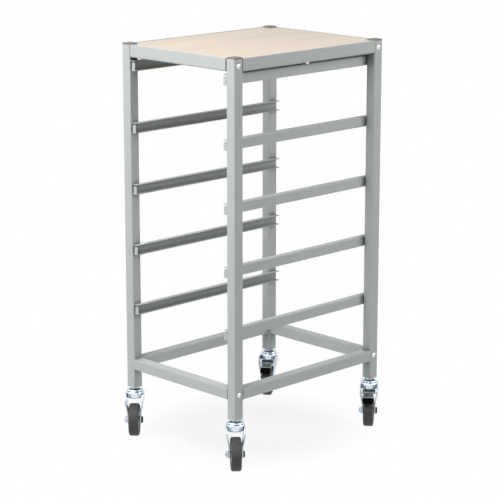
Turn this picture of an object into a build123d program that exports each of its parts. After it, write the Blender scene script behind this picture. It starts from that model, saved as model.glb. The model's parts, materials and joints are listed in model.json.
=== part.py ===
from build123d import *
import os
from math import cos, radians, sin, sqrt

# A tray trolley: two welded side frames of square tube joined by cross rails, folded channel runners
# for five trays, a board let into the top and four swivel castors, two of them with a foot brake.
# +Z is up, +X is towards the right side frame and -Y is the end where the runners have their stops.
# The origin is on the floor under the middle of the frame. All sizes are in millimetres.

# Frame
FRAME_WIDTH = 356
FRAME_DEPTH = 460
LEG_TOP = 897
LEG_BOTTOM = 111
TUBE = 25
TUBE_WALL = 1.5
TUBE_CORNER = 3
TUBE_INSIDE = TUBE - 2 * TUBE_WALL
TUBE_INSIDE_CORNER = TUBE_CORNER - TUBE_WALL
LEG_X = (FRAME_WIDTH - TUBE) / 2
LEG_Y = (FRAME_DEPTH - TUBE) / 2
CROSS_LENGTH = FRAME_WIDTH - 2 * TUBE
SIDE_LENGTH = FRAME_DEPTH - 2 * TUBE
BOTTOM_RAIL_CENTRE = 166.5

# Leg caps
CAP_THICKNESS = 3
CAP_RISE = 2
CAP_PLUG_DEPTH = 9
CAP_EDGE_ROUND = 1

# Angle rails round the top, above which the leg caps rise a little
ANGLE_TOP = LEG_TOP + CAP_THICKNESS - CAP_RISE
ANGLE_HEIGHT = 28
ANGLE_FLANGE = 25
ANGLE_SHEET = 3
ANGLE_BEND = 3.5
ANGLE_EDGE_ROUND = 1.3
ANGLE_BOTTOM = ANGLE_TOP - ANGLE_HEIGHT
ANGLE_SCREW_HEIGHT = ANGLE_BOTTOM + 12
CROSS_RAIL_GAP = 2.2
LUG_THICKNESS = 5
LUG_WIDTH = 22
LUG_HEIGHT = 24

# Top board
BOARD_THICKNESS = 24
BOARD_GAP = 0.5
BOARD_BOTTOM = ANGLE_BOTTOM + ANGLE_SHEET
BOARD_EDGE_ROUND = 0.8

# Tray runners
RUNNER_PAIRS = 5
RUNNER_PITCH = 138.5
RUNNER_TOP = 863
RUNNER_HEIGHT = 23
RUNNER_FLANGE = 13
RUNNER_SHEET = 1.5
RUNNER_BEND = 2.5
RUNNER_INSET = 4
RUNNER_LENGTH = FRAME_DEPTH - 2 * RUNNER_INSET
STOP_HEIGHT = 18.6
STOP_CORNER = 2.5
STOP_INSET = 0.5
STOP_RELIEF = 2.8

# Fasteners of the frame
SCREW_R = 3
SCREW_LENGTH = 30
SCREW_HEAD_R = 5.5
SCREW_HEAD_HEIGHT = 3.3
SCREW_SOCKET = 4
SCREW_SOCKET_DEPTH = 2
SCREW_HOLE_R = 3.2
THREAD_R = 3.05
PLUG_LENGTH = 20
PLUG_PLAY = 0.1
BOARD_SCREW_R = 2
BOARD_SCREW_LENGTH = 15
BOARD_SCREW_HEAD_R = 4.5
BOARD_SCREW_HEAD_HEIGHT = 5
BOARD_SCREW_HOLE_R = 2.3

# Castors, each in its own axes: the swivel axis is Z, the wheel trails along +X and the axle lies along Y
WHEEL_R = 37.5
WHEEL_WIDTH = 23
TRAIL = 22
TYRE_INNER_R = 27.5
TYRE_SHOULDER = 4.5
HUB_RIM = 3
HUB_RIM_WIDTH = 20
HUB_WEB = 16
HUB_BOSS_R = 8
HUB_BOSS_WIDTH = 25.2
AXLE_R = 4
AXLE_FIT = 0.05
AXLE_HEX = 13
AXLE_HEAD = 3.6
AXLE_NUT = 5.5
FORK_SHEET = 3
FORK_HALF_WIDTH = 16
FORK_SHOULDER_Z = 54
FORK_TOP_Z = 80
FORK_FOOT_Z = 24
FORK_EYE_R = 9.5
FORK_EYE_BACK_ANGLE = 200
FORK_BACK = -13
FORK_BACK_DEPTH = 8
FORK_NOSE = 34
FORK_NOSE_SLOPE = (10, 10)
FORK_LAP = 9
CUP_R = 21
CUP_SHEET = 2.6
CUP_BOTTOM = 88
CUP_TOP = 101.5
CUP_SLOPE = 2.2
CUP_EDGE = (2, 2.4)
KINGPIN_R = 5
KINGPIN_FIT = 0.06
KINGPIN_HEAD_R = 9
KINGPIN_HEAD_HEIGHT = 4
KINGPIN_HEAD_GAP = 0.4
STEM_IN_LEG = 26
COLLAR_HEX = 17
COLLAR_HEIGHT = 4.2
RACE_R = 19.5
RACE_TOP = LEG_BOTTOM - COLLAR_HEIGHT
RACE_SHEET = 2.2
RACE_RIM = 103
RACE_RIM_WIDTH = 1.8
RACE_SHOULDER = [(4, 0), (1, 1), (0, 2.2)]
BALL_R = 1.25
BALL_CIRCLE_R = 13
BALL_COUNT = 12
LEG_PLUG_LENGTH = 30

# Brakes, in the castor's axes
BRAKE_PIN_X = 26
BRAKE_PIN_Z = 80.5
BRAKE_PIN_R = 2
BRAKE_PIN_LENGTH = 40
BRAKE_TRAVEL = 8
LEVER_SHEET = 2
LEVER_HALF_WIDTH = 12.6
LEVER_TAIL = (14, 84.8)
LEVER_KNEE = (33, 82.6)
LEVER_SLOPE = 25.5
LEVER_REACH = 19
RIM_START = 2
RIM_RISE = 1.6
RIM_SHEET = 1.8
LIP_DROP = 3
TONGUE_HALF_WIDTH = 9
TONGUE_REACH = 28
CHEEK_SHEET = 2
CHEEK_FRONT = 35
CHEEK_BACK = 18
CHEEK_BOTTOM = 77.2
CHEEK_EYE = 5
CHEEK_BACK_RISE = 3
CHEEK_FRONT_RISE = 1.5
LEVER_LAP = 1
SHOE_START = 32
SHOE_END = 38.5
SHOE_REACH = 6.8
SHOE_HALF_WIDTH = 8
SHOE_GAP = 0.4
PEDAL_GAP = 0.2
PEDAL_REACH = 34.5
PEDAL_RISE = 0.8
PEDAL_DEPTH = 4.4
PEDAL_EDGE = 1.4
PEDAL_HALF_WIDTH = 12.3
PEDAL_TAPER = [(29, 12.3), (33, 10.6), (34.5, 8)]
SPRING_SHEET = 0.8
SPRING_WIDTH = 8
SPRING_SEAT = CUP_TOP - CUP_SHEET
SPRING_PATH = [(-16.5, SPRING_SEAT), (-14.5, SPRING_SEAT), (-10, 93.6), (4, 92.6), (13, 88.6)]

# Corner name: (side along X, end along Y, heading of the trailing wheel in degrees from -Y towards +X, brake)
CORNERS = {
    "front_left": (-1, -1, 44, False),
    "front_right": (1, -1, 49, False),
    "rear_left": (-1, 1, 36, True),
    "rear_right": (1, 1, 39, True),
}
SIDES = {"left": -1, "right": 1}
ENDS = {"front": -1, "rear": 1}

parts = {}


def group(shapes):
    """Keeps separate pieces of one kind together."""
    return Compound([solid for shape in shapes for solid in shape.solids()])


def hexagon(across_flats):
    return RegularPolygon(across_flats / 2 / cos(radians(30)), 6)


def outline_face(points):
    return make_face(Polyline(*points, close=True))


def square_bar(size, corner, length):
    return extrude(RectangleRounded(size, size, corner), length)


def square_tube(length):
    section = RectangleRounded(TUBE, TUBE, TUBE_CORNER)
    section -= RectangleRounded(TUBE_INSIDE, TUBE_INSIDE, TUBE_INSIDE_CORNER)
    return extrude(section, length)


def along_x(shape):
    """Lays a shape that stands on Z along X, centred on its length."""
    turned = Rot(0, 90, 0) * shape
    return Pos(-turned.bounding_box().center().X, 0, 0) * turned


def along_y(shape):
    """Lays a shape that stands on Z along Y, centred on its length."""
    turned = Rot(-90, 0, 0) * shape
    return Pos(0, -turned.bounding_box().center().Y, 0) * turned


def bar_on_x(radius, low, high):
    return Pos(low, 0, 0) * Rot(0, 90, 0) * extrude(Circle(radius), high - low)


# Frame


def leg(side, end):
    tube = Pos(0, 0, LEG_BOTTOM) * square_tube(LEG_TOP - LEG_BOTTOM)
    for height in (ANGLE_SCREW_HEIGHT, BOTTOM_RAIL_CENTRE):
        tube -= Pos(0, 0, height) * bar_on_x(SCREW_HOLE_R, -TUBE, TUBE)
    return Pos(side * LEG_X, end * LEG_Y, 0) * tube


def leg_cap(side, end):
    plug = square_bar(TUBE_INSIDE - 2 * PLUG_PLAY, TUBE_INSIDE_CORNER, CAP_PLUG_DEPTH)
    top = square_bar(TUBE, TUBE_CORNER, CAP_THICKNESS)
    top = fillet(top.faces().sort_by(Axis.Z)[-1].edges(), CAP_EDGE_ROUND)
    cap = Pos(0, 0, LEG_TOP) * top + Pos(0, 0, LEG_TOP - CAP_PLUG_DEPTH) * plug
    return Pos(side * LEG_X, end * LEG_Y, 0) * cap


def angle_section():
    """L section with its corner at the origin, the upright leg along +Y and the flange along +X."""
    section = Rectangle(ANGLE_SHEET, ANGLE_HEIGHT, align=(Align.MIN, Align.MIN))
    section += Rectangle(ANGLE_FLANGE, ANGLE_SHEET, align=(Align.MIN, Align.MIN))
    section = fillet(section.vertices().group_by(Axis.Y)[-1], ANGLE_EDGE_ROUND)
    corner = section.vertices().sort_by_distance((0, 0))[0]
    section = fillet(corner, ANGLE_BEND)
    inside = section.vertices().sort_by_distance((ANGLE_SHEET, ANGLE_SHEET))[0]
    return fillet(inside, ANGLE_BEND - ANGLE_SHEET)


def angle_rail(length):
    """Angle rail along X with its outer face on Y = 0 and its flange reaching to +Y."""
    rail = extrude(Plane.YZ * angle_section(), length)
    return Pos(-length / 2, 0, ANGLE_BOTTOM) * rail


def top_cross_rail(end):
    """Angle rail that stops just short of the legs, with a lug at each end that is screwed to the leg."""
    rail = angle_rail(CROSS_LENGTH - 2 * CROSS_RAIL_GAP)
    lug = Pos(0, ANGLE_SHEET + LUG_WIDTH / 2, BOARD_BOTTOM + LUG_HEIGHT / 2)
    lug *= Box(LUG_THICKNESS, LUG_WIDTH, LUG_HEIGHT)
    hole = Pos(0, TUBE / 2, ANGLE_SCREW_HEIGHT) * bar_on_x(THREAD_R, -TUBE, TUBE)
    for side in SIDES.values():
        rail += Pos(side * (CROSS_LENGTH - LUG_THICKNESS) / 2, 0, 0) * (lug - hole)
    turn = Rot(0, 0, 0 if end < 0 else 180)
    return turn * Pos(0, -FRAME_DEPTH / 2, 0) * rail


def top_side_rail(side):
    rail = angle_rail(SIDE_LENGTH)
    rail -= Pos(0, TUBE / 2, ANGLE_BOTTOM) * Cylinder(BOARD_SCREW_HOLE_R, 3 * ANGLE_SHEET)
    turn = Rot(0, 0, 90 if side > 0 else -90)
    return turn * Pos(0, -FRAME_WIDTH / 2, 0) * rail


def bottom_cross_rail(end):
    return Pos(0, end * LEG_Y, BOTTOM_RAIL_CENTRE) * along_x(square_tube(CROSS_LENGTH))


def bottom_side_rail(side):
    return Pos(side * LEG_X, 0, BOTTOM_RAIL_CENTRE) * along_y(square_tube(SIDE_LENGTH))


def top_board():
    width = FRAME_WIDTH - 2 * (ANGLE_SHEET + BOARD_GAP)
    depth = FRAME_DEPTH - 2 * (ANGLE_SHEET + BOARD_GAP)
    sheet = Rectangle(width, depth)
    notch_width = 2 * (TUBE + LUG_THICKNESS + BOARD_GAP)
    notch_depth = 2 * (TUBE + BOARD_GAP)
    for side in SIDES.values():
        for end in ENDS.values():
            sheet -= Pos(side * FRAME_WIDTH / 2, end * FRAME_DEPTH / 2) * Rectangle(notch_width, notch_depth)
    board = extrude(sheet, BOARD_THICKNESS)
    flat_faces = board.faces().sort_by(Axis.Z)
    board = chamfer(flat_faces[0].edges() + flat_faces[-1].edges(), BOARD_EDGE_ROUND)
    for side in SIDES.values():
        pilot = Cylinder(BOARD_SCREW_R, 2 * BOARD_SCREW_LENGTH)
        board -= Pos(side * LEG_X, 0, -ANGLE_SHEET) * pilot
    return Pos(0, 0, BOARD_BOTTOM) * board


# Tray runners


def runner(side, level):
    """Folded channel that opens towards the middle of the trolley, with a stop folded up at its front end."""
    section = Rectangle(RUNNER_FLANGE, RUNNER_HEIGHT, align=(Align.MIN, Align.MAX))
    hollow = Rectangle(RUNNER_FLANGE, RUNNER_HEIGHT - 2 * RUNNER_SHEET, align=(Align.MIN, Align.MAX))
    section -= Pos(RUNNER_SHEET, -RUNNER_SHEET) * hollow
    section = fillet(section.vertices().group_by(Axis.X)[0], RUNNER_BEND)
    inner_bends = [v for v in section.vertices() if abs(v.X - RUNNER_SHEET) < RUNNER_SHEET / 10]
    section = fillet(inner_bends, RUNNER_BEND - RUNNER_SHEET)
    channel = extrude(Plane.XZ * section, -RUNNER_LENGTH)
    relief = Box(STOP_RELIEF, STOP_RELIEF, STOP_HEIGHT - RUNNER_BEND, align=Align.MIN)
    channel -= Pos(0, 0, RUNNER_BEND - RUNNER_HEIGHT) * relief
    stop = Box(RUNNER_FLANGE - STOP_INSET - STOP_RELIEF, RUNNER_SHEET, STOP_HEIGHT, align=Align.MIN)
    stop = fillet(stop.edges().filter_by(Axis.Y).group_by(Axis.Z)[-1], STOP_CORNER)
    channel += Pos(STOP_RELIEF, 0, -RUNNER_HEIGHT) * stop
    top = RUNNER_TOP - level * RUNNER_PITCH
    placed = Pos(-FRAME_WIDTH / 2 + TUBE, -FRAME_DEPTH / 2 + RUNNER_INSET, top) * channel
    return placed if side < 0 else placed.mirror(Plane.YZ)


# Fasteners of the frame


def frame_screw(side, end, height):
    """Button-head screw whose domed head has a hexagon socket."""
    dome_r = (SCREW_HEAD_R**2 + SCREW_HEAD_HEIGHT**2) / (2 * SCREW_HEAD_HEIGHT)
    midway = SCREW_HEAD_R / 2
    dome_point = (midway, SCREW_HEAD_HEIGHT - dome_r + sqrt(dome_r**2 - midway**2))
    dome = ThreePointArc((SCREW_HEAD_R, 0), dome_point, (0, SCREW_HEAD_HEIGHT))
    rest = Polyline(
        (0, SCREW_HEAD_HEIGHT), (0, -SCREW_LENGTH), (SCREW_R, -SCREW_LENGTH), (SCREW_R, 0), (SCREW_HEAD_R, 0)
    )
    screw = revolve(Plane.XZ * make_face([dome, *rest.edges()]), Axis.Z)
    socket = extrude(hexagon(SCREW_SOCKET), SCREW_HEAD_HEIGHT)
    screw -= Pos(0, 0, SCREW_HEAD_HEIGHT - SCREW_SOCKET_DEPTH) * socket
    placed = Pos(FRAME_WIDTH / 2, end * LEG_Y, height) * Rot(0, 90, 0) * screw
    return placed if side > 0 else placed.mirror(Plane.YZ)


def rail_plug(side, end):
    plug = along_x(square_bar(TUBE_INSIDE - 2 * PLUG_PLAY, TUBE_INSIDE_CORNER, PLUG_LENGTH))
    plug -= bar_on_x(THREAD_R, -PLUG_LENGTH, PLUG_LENGTH)
    return Pos(side * (CROSS_LENGTH - PLUG_LENGTH) / 2, end * LEG_Y, BOTTOM_RAIL_CENTRE) * plug


def board_screw(side):
    head = Pos(0, 0, -BOARD_SCREW_HEAD_HEIGHT) * extrude(Circle(BOARD_SCREW_HEAD_R), BOARD_SCREW_HEAD_HEIGHT)
    head = fillet(head.faces().sort_by(Axis.Z)[0].edges(), BOARD_SCREW_HEAD_HEIGHT / 2)
    screw = head + extrude(Circle(BOARD_SCREW_R), BOARD_SCREW_LENGTH)
    return Pos(side * LEG_X, 0, ANGLE_BOTTOM) * screw


# Castors


def axle_bar(radius, low, high):
    """Round bar along the axle's direction, from low to high."""
    return Pos(0, low, 0) * Rot(-90, 0, 0) * extrude(Circle(radius), high - low)


def axle_hex(across_flats, low, high):
    return Pos(0, low, 0) * Rot(-90, 0, 0) * extrude(hexagon(across_flats), high - low)


def ring_of(points):
    """Turns an outline of (radius, height) points about the swivel axis."""
    return revolve(Plane.XZ * outline_face(points), Axis.Z)


def wheel_of(points):
    """Turns an outline of (radius, place along the axle) points about the wheel's axle."""
    return Pos(TRAIL, 0, WHEEL_R) * Rot(-90, 0, 0) * ring_of(points)


def leg_plug():
    plug = square_bar(TUBE_INSIDE - 2 * PLUG_PLAY, TUBE_INSIDE_CORNER, LEG_PLUG_LENGTH)
    plug -= Cylinder(KINGPIN_R + KINGPIN_FIT, 3 * LEG_PLUG_LENGTH)
    return Pos(0, 0, LEG_BOTTOM) * plug


def castor_stem():
    cup_underside = CUP_TOP - CUP_SHEET
    head_top = cup_underside - KINGPIN_HEAD_GAP
    head = Pos(0, 0, head_top - KINGPIN_HEAD_HEIGHT) * extrude(Circle(KINGPIN_HEAD_R), KINGPIN_HEAD_HEIGHT)
    shank = Pos(0, 0, head_top) * extrude(Circle(KINGPIN_R), LEG_BOTTOM + STEM_IN_LEG - head_top)
    collar = Pos(0, 0, RACE_TOP) * extrude(hexagon(COLLAR_HEX), COLLAR_HEIGHT)
    return head + shank + collar


def top_race():
    inner = KINGPIN_R + KINGPIN_FIT
    underside = RACE_TOP - RACE_SHEET
    shoulder = [(RACE_R - inwards, RACE_TOP - down) for inwards, down in RACE_SHOULDER]
    return ring_of(
        [
            (inner, RACE_TOP),
            *shoulder,
            (RACE_R, RACE_RIM),
            (RACE_R - RACE_RIM_WIDTH, RACE_RIM),
            (RACE_R - RACE_RIM_WIDTH, underside),
            (inner, underside),
        ]
    )


def swivel_balls():
    height = (CUP_TOP + RACE_TOP - RACE_SHEET) / 2
    return [loc * Sphere(BALL_R) for loc in Pos(0, 0, height) * PolarLocations(BALL_CIRCLE_R, BALL_COUNT)]


def fork_cup():
    inner = KINGPIN_R + KINGPIN_FIT
    edge_in, edge_up = CUP_EDGE
    return ring_of(
        [
            (inner, CUP_TOP),
            (CUP_R - CUP_SLOPE, CUP_TOP),
            (CUP_R, CUP_TOP - CUP_SLOPE),
            (CUP_R, CUP_BOTTOM + edge_up),
            (CUP_R - edge_in, CUP_BOTTOM),
            (CUP_R - CUP_SHEET, CUP_BOTTOM),
            (CUP_R - CUP_SHEET, CUP_TOP - CUP_SLOPE - CUP_SHEET / 2),
            (CUP_R - CUP_SLOPE - CUP_SHEET / 2, CUP_TOP - CUP_SHEET),
            (inner, CUP_TOP - CUP_SHEET),
        ]
    )


def fork_arms():
    """Two pressed arms: bent inwards seen from the front, raked back to the axle seen from the side."""
    arm_top = CUP_BOTTOM + FORK_LAP
    bend = [
        (CUP_R, arm_top),
        (CUP_R, FORK_TOP_Z),
        (FORK_HALF_WIDTH, FORK_SHOULDER_Z),
        (FORK_HALF_WIDTH, FORK_FOOT_Z),
        (FORK_HALF_WIDTH - FORK_SHEET, FORK_FOOT_Z),
        (FORK_HALF_WIDTH - FORK_SHEET, FORK_SHOULDER_Z),
        (CUP_R - FORK_SHEET, FORK_TOP_Z),
        (CUP_R - FORK_SHEET, arm_top),
    ]
    strip = extrude(Plane.YZ * outline_face(bend), CUP_R * 2, both=True)
    strips = strip + strip.mirror(Plane.XZ)
    eye = Pos(TRAIL, WHEEL_R) * Circle(FORK_EYE_R)
    back_angle = radians(FORK_EYE_BACK_ANGLE)
    slope_x, slope_z = FORK_NOSE_SLOPE
    blade = outline_face(
        [
            (FORK_BACK, arm_top),
            (FORK_NOSE - slope_x, arm_top),
            (FORK_NOSE, arm_top - slope_z),
            (FORK_NOSE, BRAKE_PIN_Z - slope_z),
            (TRAIL + FORK_EYE_R, WHEEL_R),
            (TRAIL + FORK_EYE_R * cos(back_angle), WHEEL_R + FORK_EYE_R * sin(back_angle)),
            (FORK_BACK, CUP_BOTTOM - FORK_BACK_DEPTH),
        ]
    )
    return strips & extrude(Plane.XZ * (blade + eye), CUP_R + FORK_SHEET, both=True)


def fork(braked):
    body = fork_cup() + fork_arms()
    body -= Pos(TRAIL, 0, WHEEL_R) * axle_bar(AXLE_R + AXLE_FIT, -CUP_R, CUP_R)
    if braked:
        body -= Pos(BRAKE_PIN_X, 0, BRAKE_PIN_Z) * axle_bar(BRAKE_PIN_R + AXLE_FIT, -CUP_R, CUP_R)
    return body


def axle_bolt():
    shank = axle_bar(AXLE_R, -FORK_HALF_WIDTH - AXLE_NUT - 1, FORK_HALF_WIDTH)
    head = axle_hex(AXLE_HEX, FORK_HALF_WIDTH, FORK_HALF_WIDTH + AXLE_HEAD)
    return Pos(TRAIL, 0, WHEEL_R) * (shank + head)


def axle_nut():
    nut = axle_hex(AXLE_HEX, -FORK_HALF_WIDTH - AXLE_NUT, -FORK_HALF_WIDTH)
    nut -= axle_bar(AXLE_R + AXLE_FIT, -2 * CUP_R, 0)
    return Pos(TRAIL, 0, WHEEL_R) * nut


def wheel_hub():
    bore = AXLE_R + AXLE_FIT
    rim_inside = TYRE_INNER_R - HUB_RIM
    half = [
        (bore, HUB_BOSS_WIDTH / 2),
        (HUB_BOSS_R, HUB_BOSS_WIDTH / 2),
        (HUB_BOSS_R + 1, HUB_WEB / 2),
        (rim_inside - 1, HUB_WEB / 2),
        (rim_inside, HUB_RIM_WIDTH / 2),
        (TYRE_INNER_R, HUB_RIM_WIDTH / 2),
    ]
    return wheel_of(half + [(r, -y) for r, y in reversed(half)])


def tyre():
    section = Pos((WHEEL_R + TYRE_INNER_R) / 2, 0) * Rectangle(WHEEL_R - TYRE_INNER_R, WHEEL_WIDTH)
    section = fillet(section.vertices().group_by(Axis.X)[-1], TYRE_SHOULDER)
    return Pos(TRAIL, 0, WHEEL_R) * Rot(-90, 0, 0) * revolve(Plane.XZ * section, Axis.Z)


# Brakes


def side_plate(points, half_width):
    """Gives an outline seen from the side of the castor its width along the axle."""
    return extrude(Plane.XZ * outline_face(points), half_width, both=True)


def on_slope(reach, rise=0):
    """Place on the lever's sloping part: reach from its knee, rise above its top face."""
    angle = radians(LEVER_SLOPE)
    x = LEVER_KNEE[0] + reach * cos(angle) + rise * sin(angle)
    return x, LEVER_KNEE[1] - reach * sin(angle) + rise * cos(angle)


def mirrored_face(points):
    """Closes a line of (x, y) points on one side with its mirror image on the other."""
    return outline_face(points + [(x, -y) for x, y in reversed(points)])


def lever_plate():
    """Bent plate of the lever, which narrows to a tongue that carries the pedal."""
    knee_below = (LEVER_KNEE[0], LEVER_KNEE[1] - LEVER_SHEET)
    tail_below = (LEVER_TAIL[0], LEVER_TAIL[1] - LEVER_SHEET)
    top = [LEVER_TAIL, LEVER_KNEE, on_slope(TONGUE_REACH)]
    outline = top + [on_slope(TONGUE_REACH, -LEVER_SHEET), knee_below, tail_below]
    tongue_start = on_slope(LEVER_REACH)[0]
    plan = [
        (LEVER_TAIL[0], LEVER_HALF_WIDTH),
        (tongue_start, LEVER_HALF_WIDTH),
        (tongue_start, TONGUE_HALF_WIDTH),
        (on_slope(TONGUE_REACH)[0], TONGUE_HALF_WIDTH),
    ]
    return side_plate(outline, LEVER_HALF_WIDTH) & extrude(mirrored_face(plan), LEG_BOTTOM)


def lever_rim():
    """Raised rim along both sides of the lever's sloping part, and the deeper lip across its end."""
    side = [
        on_slope(RIM_START, -LEVER_LAP),
        on_slope(RIM_START),
        on_slope(2 * RIM_START, RIM_RISE),
        on_slope(LEVER_REACH, RIM_RISE),
        on_slope(LEVER_REACH, -LEVER_LAP),
    ]
    lip = [
        on_slope(LEVER_REACH - RIM_SHEET, RIM_RISE),
        on_slope(LEVER_REACH, RIM_RISE),
        on_slope(LEVER_REACH, -LIP_DROP),
        on_slope(LEVER_REACH - RIM_SHEET, -LIP_DROP),
    ]
    sides = side_plate(side, LEVER_HALF_WIDTH) - side_plate(side, LEVER_HALF_WIDTH - RIM_SHEET)
    return sides + side_plate(lip, LEVER_HALF_WIDTH)


def lifted(shape):
    """Turns a shape about the brake pin, back by the lever's travel."""
    pin = Pos(BRAKE_PIN_X, 0, BRAKE_PIN_Z)
    return pin * Rot(0, -BRAKE_TRAVEL, 0) * Pos(-BRAKE_PIN_X, 0, -BRAKE_PIN_Z) * shape


def brake_lever():
    lever = lever_plate() + lever_rim()
    cheek = [
        (CHEEK_BACK, CHEEK_BOTTOM + CHEEK_BACK_RISE),
        (CHEEK_BACK, LEVER_TAIL[1] - LEVER_LAP),
        (CHEEK_FRONT, LEVER_KNEE[1] - 2 * LEVER_LAP),
        (CHEEK_FRONT, CHEEK_BOTTOM + CHEEK_FRONT_RISE),
        (BRAKE_PIN_X + CHEEK_EYE, CHEEK_BOTTOM),
        (BRAKE_PIN_X - CHEEK_EYE, CHEEK_BOTTOM),
    ]
    inner = side_plate(cheek, LEVER_HALF_WIDTH - CHEEK_SHEET)
    lever += side_plate(cheek, LEVER_HALF_WIDTH) - inner
    shoe = [
        (SHOE_START, LEVER_KNEE[1] - LEVER_LAP),
        (LEVER_KNEE[0], LEVER_KNEE[1] - LEVER_LAP),
        on_slope(SHOE_REACH, -LEVER_LAP),
        (SHOE_END, tyre_top(SHOE_END)),
        (SHOE_START, tyre_top(SHOE_START)),
    ]
    clear_of_tyre = Pos(TRAIL, 0, WHEEL_R) * axle_bar(WHEEL_R + SHOE_GAP, -CUP_R, CUP_R)
    lever += side_plate(shoe, SHOE_HALF_WIDTH) - lifted(clear_of_tyre)
    return lever - Pos(BRAKE_PIN_X, 0, BRAKE_PIN_Z) * axle_bar(BRAKE_PIN_R + AXLE_FIT, -CUP_R, CUP_R)


def tyre_top(x):
    """Height of the tyre's tread at a place along the trail."""
    return WHEEL_R + sqrt(WHEEL_R**2 - (x - TRAIL) ** 2)


def brake_pedal():
    """Moulded pedal on the lever's tongue, in front of the lip, narrower towards its rounded end."""
    start = LEVER_REACH + PEDAL_GAP
    profile = [
        on_slope(start, PEDAL_RISE),
        on_slope(PEDAL_REACH - PEDAL_EDGE, PEDAL_RISE),
        on_slope(PEDAL_REACH, PEDAL_RISE - PEDAL_EDGE),
        on_slope(PEDAL_REACH, PEDAL_EDGE - PEDAL_DEPTH),
        on_slope(PEDAL_REACH - PEDAL_EDGE, -PEDAL_DEPTH),
        on_slope(start, -PEDAL_DEPTH),
    ]
    block = side_plate(profile, PEDAL_HALF_WIDTH)
    plan = [(LEVER_KNEE[0], PEDAL_HALF_WIDTH)]
    plan += [(on_slope(reach, PEDAL_RISE)[0], half_width) for reach, half_width in PEDAL_TAPER]
    block &= extrude(mirrored_face(plan), LEG_BOTTOM)
    return block - lever_plate()


def brake_pin():
    half = BRAKE_PIN_LENGTH / 2
    return Pos(BRAKE_PIN_X, 0, BRAKE_PIN_Z) * axle_bar(BRAKE_PIN_R, -half, half)


def brake_spring():
    path = SPRING_PATH + [(x, z - SPRING_SHEET) for x, z in reversed(SPRING_PATH)]
    return side_plate(path, SPRING_WIDTH / 2)


# Assembly

for name, (side, end, heading, braked) in CORNERS.items():
    parts["leg_" + name] = leg(side, end)
for name, end in ENDS.items():
    parts["top_rail_" + name] = top_cross_rail(end)
    parts["bottom_rail_" + name] = bottom_cross_rail(end)
for name, side in SIDES.items():
    parts["top_rail_" + name] = top_side_rail(side)
    parts["bottom_rail_" + name] = bottom_side_rail(side)
    for level in range(RUNNER_PAIRS):
        parts[f"runner_{name}_{level + 1}"] = runner(side, level)
parts["top_board"] = top_board()

corners = [(side, end) for side, end, heading, braked in CORNERS.values()]
parts["leg_caps"] = group(leg_cap(side, end) for side, end in corners)
screw_heights = (ANGLE_SCREW_HEIGHT, BOTTOM_RAIL_CENTRE)
parts["frame_screws"] = group(
    frame_screw(side, end, height) for side, end in corners for height in screw_heights
)
parts["rail_plugs"] = group(rail_plug(side, end) for side, end in corners)
parts["board_screws"] = group(board_screw(side) for side in SIDES.values())

fixed_castor_pieces = {"castor_plugs": [], "castor_stems": [], "castor_top_races": [], "castor_balls": []}
for name, (side, end, heading, braked) in CORNERS.items():
    place = Pos(side * LEG_X, end * LEG_Y, 0) * Rot(0, 0, heading - 90)
    fixed_castor_pieces["castor_plugs"].append(Pos(side * LEG_X, end * LEG_Y, 0) * leg_plug())
    fixed_castor_pieces["castor_stems"].append(place * castor_stem())
    fixed_castor_pieces["castor_top_races"].append(place * top_race())
    fixed_castor_pieces["castor_balls"].extend(place * ball for ball in swivel_balls())
    parts["fork_" + name] = place * fork(braked)
    parts["axle_bolt_" + name] = place * axle_bolt()
    parts["axle_nut_" + name] = place * axle_nut()
    parts["hub_" + name] = place * wheel_hub()
    parts["tyre_" + name] = place * tyre()
    if braked:
        parts["brake_lever_" + name] = place * brake_lever()
        parts["brake_pedal_" + name] = place * brake_pedal()
        parts["brake_pin_" + name] = place * brake_pin()
        parts["brake_spring_" + name] = place * brake_spring()
for name, pieces in fixed_castor_pieces.items():
    parts[name] = group(pieces)

os.makedirs("parts", exist_ok=True)
for name, shape in parts.items():
    export_step(shape, f"parts/{name}.step")
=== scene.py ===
import json
from math import atan2, cos, pi, radians, sin, sqrt, tan

import bpy
from bpy.props import FloatProperty, FloatVectorProperty, IntProperty, PointerProperty
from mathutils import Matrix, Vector


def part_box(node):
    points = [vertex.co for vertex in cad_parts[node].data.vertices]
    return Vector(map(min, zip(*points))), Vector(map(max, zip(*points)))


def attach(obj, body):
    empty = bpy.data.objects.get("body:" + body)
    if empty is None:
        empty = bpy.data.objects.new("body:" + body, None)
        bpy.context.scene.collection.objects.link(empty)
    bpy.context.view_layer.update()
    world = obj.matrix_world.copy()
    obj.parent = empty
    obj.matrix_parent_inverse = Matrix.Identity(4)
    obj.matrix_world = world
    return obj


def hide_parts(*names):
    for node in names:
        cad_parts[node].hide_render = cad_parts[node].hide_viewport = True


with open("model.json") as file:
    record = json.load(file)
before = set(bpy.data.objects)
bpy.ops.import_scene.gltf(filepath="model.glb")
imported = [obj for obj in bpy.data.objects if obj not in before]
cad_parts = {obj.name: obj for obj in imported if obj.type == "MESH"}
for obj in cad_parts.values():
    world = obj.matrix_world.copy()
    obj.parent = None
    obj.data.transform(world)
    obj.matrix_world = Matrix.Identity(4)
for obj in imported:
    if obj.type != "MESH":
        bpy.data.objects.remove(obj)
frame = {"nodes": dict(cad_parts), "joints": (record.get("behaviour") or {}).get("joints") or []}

bl_info = {
    "name": "Tray trolley",
    "version": (1, 0, 0),
    "blender": (4, 5, 0),
    "location": "3D Viewport > Sidebar > Trolley",
    "description": "Finishes the tray trolley: paint, board, castors, brakes and a photo studio",
    "category": "Object",
}

# The frame gives the places: each corner has a swivel, a wheel and, at the rear, a brake.

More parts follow.
